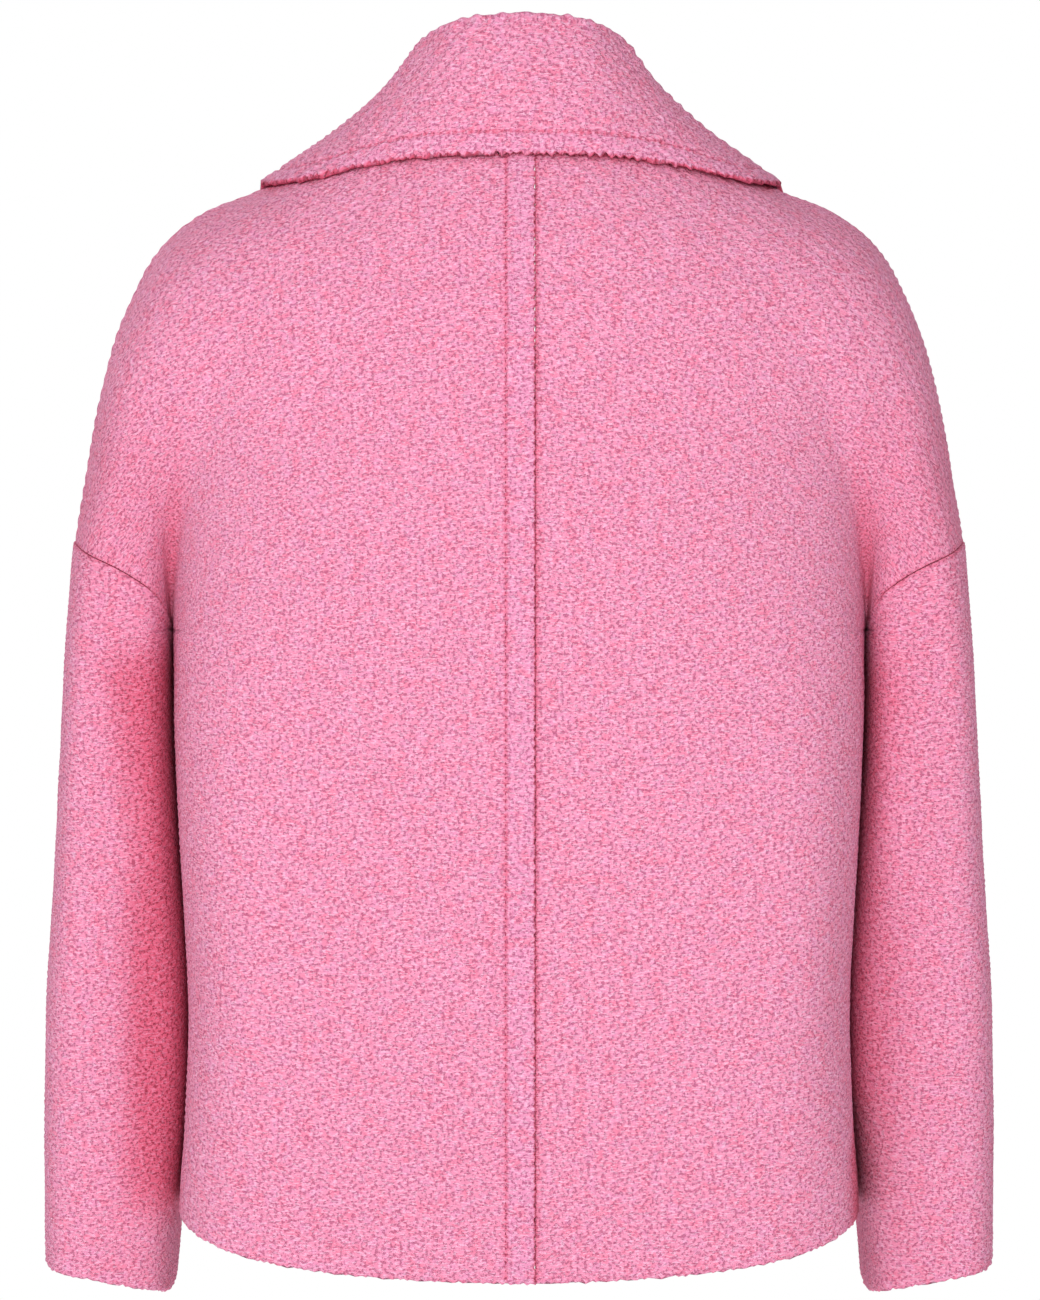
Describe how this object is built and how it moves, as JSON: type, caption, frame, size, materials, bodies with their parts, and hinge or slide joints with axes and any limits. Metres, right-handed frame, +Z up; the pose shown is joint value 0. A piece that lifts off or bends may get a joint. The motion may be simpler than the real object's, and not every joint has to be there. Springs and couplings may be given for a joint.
{
  "type": "pea coat",
  "caption": "Cropped double-breasted wool coat with drop shoulders and a wide turned-down collar, filled out as worn, hollow and open at neck, hem and cuffs.",
  "frame": {"origin": "the nape: the middle of the back neck seam", "axes": "+Z up, the coat's front faces -Y, the wearer's left is +X"},
  "size_m": [0.5312, 0.2773, 0.7048],
  "materials": {
    "cloth": "thick napped basket weave, matte",
    "button": "satin"
  },
  "bodies": {
    "root": {"back_left": "cloth", "back_right": "cloth", "front_left": "cloth", "front_right": "cloth", "sleeve_left": "cloth", "sleeve_right": "cloth", "lapel_left": "cloth", "lapel_right": "cloth", "collar": "cloth", "button_outer_1": "button", "button_outer_2": "button", "button_outer_3": "button", "button_inner_1": "button", "button_inner_2": "button", "button_inner_3": "button"}
  },
  "joints": []
}
